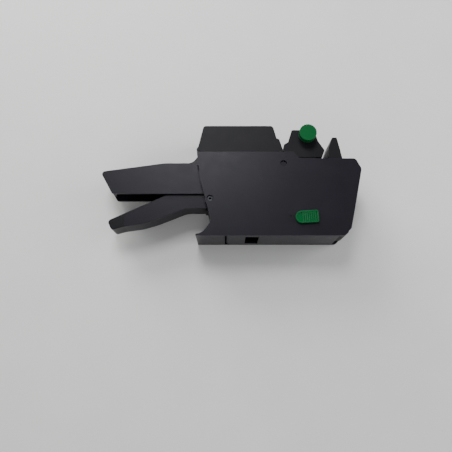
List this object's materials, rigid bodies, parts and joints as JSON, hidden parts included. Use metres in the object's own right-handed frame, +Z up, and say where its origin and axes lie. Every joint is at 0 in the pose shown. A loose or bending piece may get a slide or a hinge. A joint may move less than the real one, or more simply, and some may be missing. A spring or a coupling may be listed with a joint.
{
  "type": "price labeling gun",
  "caption": "Hand-held label printer: two-part casing with handle, squeeze lever, hinged magazine lid, dropping print head with side selector knob, ink-roller holder and side latch.",
  "frame": {"origin": "on the resting plane, under the middle of the gun as it lies on its left side", "axes": "+X towards the nose, +Y towards the gun's top (lid), +Z up, out of its right side"},
  "size_m": [0.2367, 0.104, 0.0487],
  "materials": {
    "casing_plastic": "charcoal moulded ABS, fine satin grain",
    "lid_plastic": "near-black moulded ABS, satin",
    "lever_plastic": "charcoal moulded ABS, satin",
    "inner_plastic": "black acetal, slightly waxy",
    "natural_plastic": "undyed acetal",
    "green_plastic": "bright green moulded plastic, semi-gloss",
    "window_clear": "clear acrylic",
    "steel": "bright zinc-plated steel",
    "dark_steel": "blackened steel",
    "rubber": "black rubber",
    "ink_felt": "ink-soaked porous roller",
    "label_paper": "white label paper, wound",
    "core_card": "brown card tube"
  },
  "bodies": {
    "casing": {"right_shell": "casing_plastic", "left_shell": "casing_plastic", "casing_screws": "steel", "lid_hinge_pin": "steel", "roll_spindle": "inner_plastic", "lever_pivot_pin": "dark_steel", "lever_return_spring": "steel", "lever_stop": "rubber", "ink_holder_pin": "steel", "label_guide": "steel", "platen": "inner_plastic", "platen_pad": "rubber", "peel_plate": "steel", "application_axle": "steel", "feed_wheel_axle": "steel", "cover_hinge_pin": "steel", "latch_spring": "steel"},
    "lid": {"magazine_lid": "lid_plastic"},
    "roll": {"label_roll": "label_paper", "label_core": "core_card"},
    "lever": {"hand_lever": "lever_plastic", "lever_end_cap": "inner_plastic", "drive_spring": "steel"},
    "arm": {"print_arm": "inner_plastic", "head_frame": "inner_plastic", "head_housing": "lid_plastic", "digit_window": "window_clear", "type_bands": "rubber", "band_wheels": "natural_plastic", "type_nose_bar": "inner_plastic", "pawl_pin": "steel"},
    "index_sleeve": {"selector_sleeve": "inner_plastic"},
    "selector": {"selector_shaft": "steel", "selector_knob": "green_plastic"},
    "pawl": {"feed_pawl": "inner_plastic", "pawl_spring": "steel"},
    "ink_rocker": {"ink_holder": "lid_plastic", "ink_roller_axle": "steel"},
    "inker": {"ink_roller": "ink_felt"},
    "feeder": {"feed_wheel": "natural_plastic", "feed_ratchet": "natural_plastic"},
    "applicator": {"application_roller": "rubber", "application_hub": "natural_plastic"},
    "cover": {"bottom_cover": "casing_plastic", "pressure_roller_axle": "steel"},
    "presser": {"pressure_roller": "rubber"},
    "latch": {"cover_latch": "green_plastic"}
  },
  "joints": [
    {"name": "lid_hinge", "type": "hinge", "parent": "casing", "child": "lid", "pos_m": [-0.0274, 0.0296, 0.021], "axis": [0, 0, 1], "range_deg": [0, 95]},
    {"name": "roll_spin", "type": "hinge", "parent": "casing", "child": "roll", "pos_m": [0.0085, 0.015, 0.021], "axis": [0, 0, 1], "continuous": true},
    {"name": "lever_squeeze", "type": "hinge", "parent": "casing", "child": "lever", "pos_m": [-0.0178, -0.0178, 0.021], "axis": [0, 0, -1], "range_deg": [0, 13], "stiffness_Nm_per_rad": 0.8, "springref_deg": -11.46, "deforming": ["lever_return_spring", "drive_spring"]},
    {"name": "arm_swing", "type": "hinge", "parent": "casing", "child": "arm", "pos_m": [-0.0178, -0.0178, 0.021], "axis": [0, 0, -1], "range_deg": [0, 10.4]},
    {"name": "selector_pull", "type": "slide", "parent": "arm", "child": "index_sleeve", "axis": [0, 0, 1], "range_m": [0, 0.021]},
    {"name": "selector_turn", "type": "hinge", "parent": "index_sleeve", "child": "selector", "pos_m": [0.0712, 0.0427, 0.021], "axis": [0, 0, 1], "continuous": true},
    {"name": "pawl_swing", "type": "hinge", "parent": "arm", "child": "pawl", "pos_m": [0.0545, -0.012, 0.007], "axis": [0, 0, 1], "range_deg": [0, 9], "stiffness_Nm_per_rad": 0.002, "springref_deg": -5.73, "deforming": ["pawl_spring"]},
    {"name": "ink_swing", "type": "hinge", "parent": "casing", "child": "ink_rocker", "pos_m": [0.1035, -0.024, 0.021], "axis": [0, 0, -1], "range_deg": [0, 12]},
    {"name": "ink_spin", "type": "hinge", "parent": "ink_rocker", "child": "inker", "pos_m": [0.095, -0.004, 0.021], "axis": [0, 0, 1], "continuous": true},
    {"name": "feed_spin", "type": "hinge", "parent": "casing", "child": "feeder", "pos_m": [0.0445, -0.0345, 0.021], "axis": [0, 0, 1], "continuous": true},
    {"name": "applicator_spin", "type": "hinge", "parent": "casing", "child": "applicator", "pos_m": [0.1015, -0.0445, 0.021], "axis": [0, 0, 1], "continuous": true},
    {"name": "cover_hinge", "type": "hinge", "parent": "casing", "child": "cover", "pos_m": [-0.001, -0.0486, 0.021], "axis": [0, 0, -1], "range_deg": [0, 65]},
    {"name": "presser_spin", "type": "hinge", "parent": "cover", "child": "presser", "pos_m": [0.0445, -0.0457, 0.021], "axis": [0, 0, 1], "continuous": true},
    {"name": "latch_slide", "type": "slide", "parent": "casing", "child": "latch", "axis": [-1, 0, 0], "range_m": [0, 0.003], "stiffness_N_per_m": 300, "springref_m": -0.002, "deforming": ["latch_spring"]}
  ],
  "couplings": [
    {"joint": "arm_swing", "follows": "lever_squeeze", "ratio": 0.8},
    {"joint": "ink_swing", "follows": "lever_squeeze", "ratio": 0.9}
  ]
}
